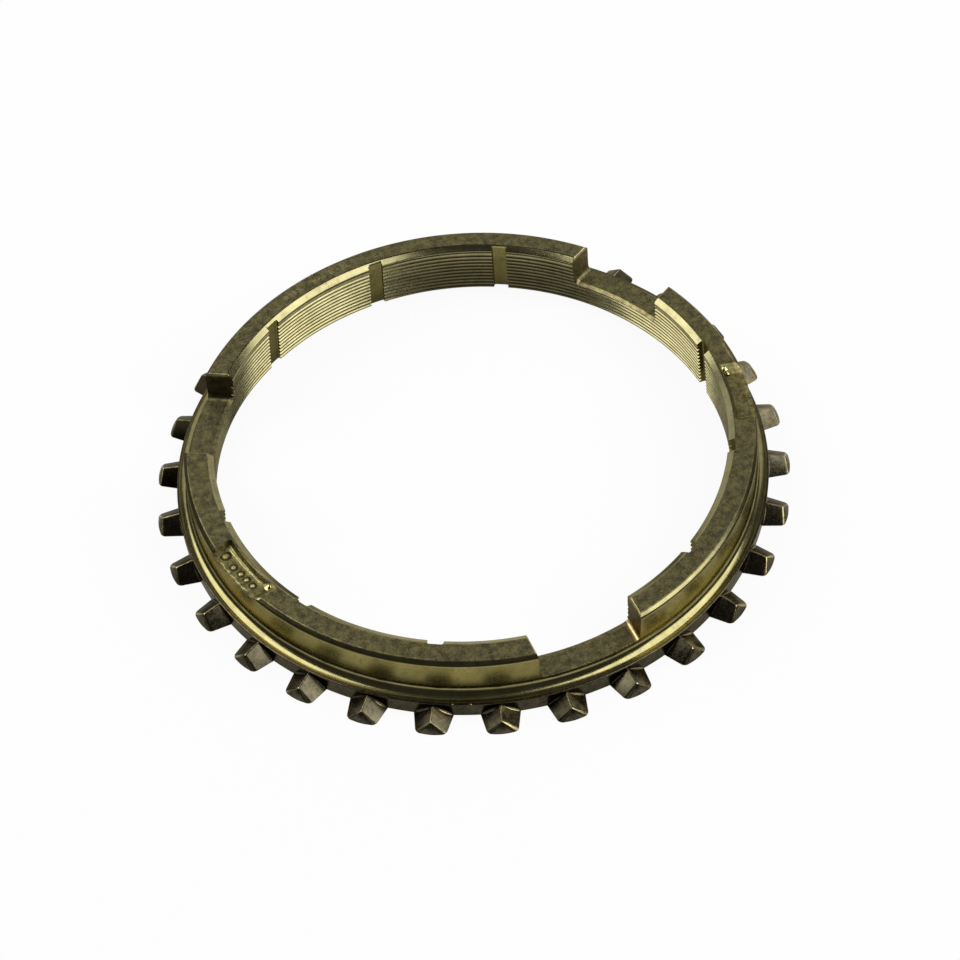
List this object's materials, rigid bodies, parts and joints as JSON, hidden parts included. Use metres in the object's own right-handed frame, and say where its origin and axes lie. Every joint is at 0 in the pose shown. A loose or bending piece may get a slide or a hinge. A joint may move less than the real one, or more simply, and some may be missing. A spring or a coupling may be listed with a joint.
{
  "type": "synchronizer ring",
  "caption": "Brass baulk ring with a grooved friction cone, key slots in its collar and chamfered blocking teeth around its flange.",
  "frame": {"origin": "centre of the flat gear-side face, on the ring's axis", "axes": "+Z along the axis from the gear side to the key slots; -Y through the middle of one key slot"},
  "size_m": [0.1072, 0.107, 0.0106],
  "materials": {
    "brass": "forged and tumbled to a dull olive, turned on the collar and on the threaded friction cone"
  },
  "bodies": {
    "root": {"synchronizer_ring": "brass"}
  },
  "joints": []
}
